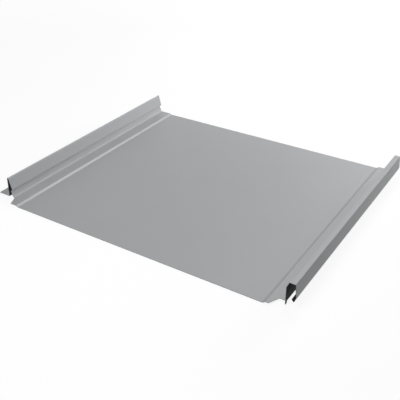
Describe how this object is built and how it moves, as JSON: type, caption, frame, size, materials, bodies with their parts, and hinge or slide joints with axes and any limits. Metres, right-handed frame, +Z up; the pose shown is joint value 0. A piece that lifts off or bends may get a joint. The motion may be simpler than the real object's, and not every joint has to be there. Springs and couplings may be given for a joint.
{
  "type": "standing seam roof panel",
  "caption": "Roll-formed steel roofing panel with a barbed lock rib, a slotted nailing flange and a hooked cover rib that clicks over the next panel's rib.",
  "frame": {"origin": "centre of the panel's box, on the underside of the flat pan", "axes": "+X across the panel from the lock rib to the cover rib, +Y along the seams from the eave end to the ridge end, +Z up out of the panel's face"},
  "size_m": [0.5072, 0.41, 0.0352],
  "materials": {
    "coated_steel": "semi-matt light grey polyester coat"
  },
  "bodies": {
    "root": {"roof_panel": "coated_steel"}
  },
  "joints": []
}
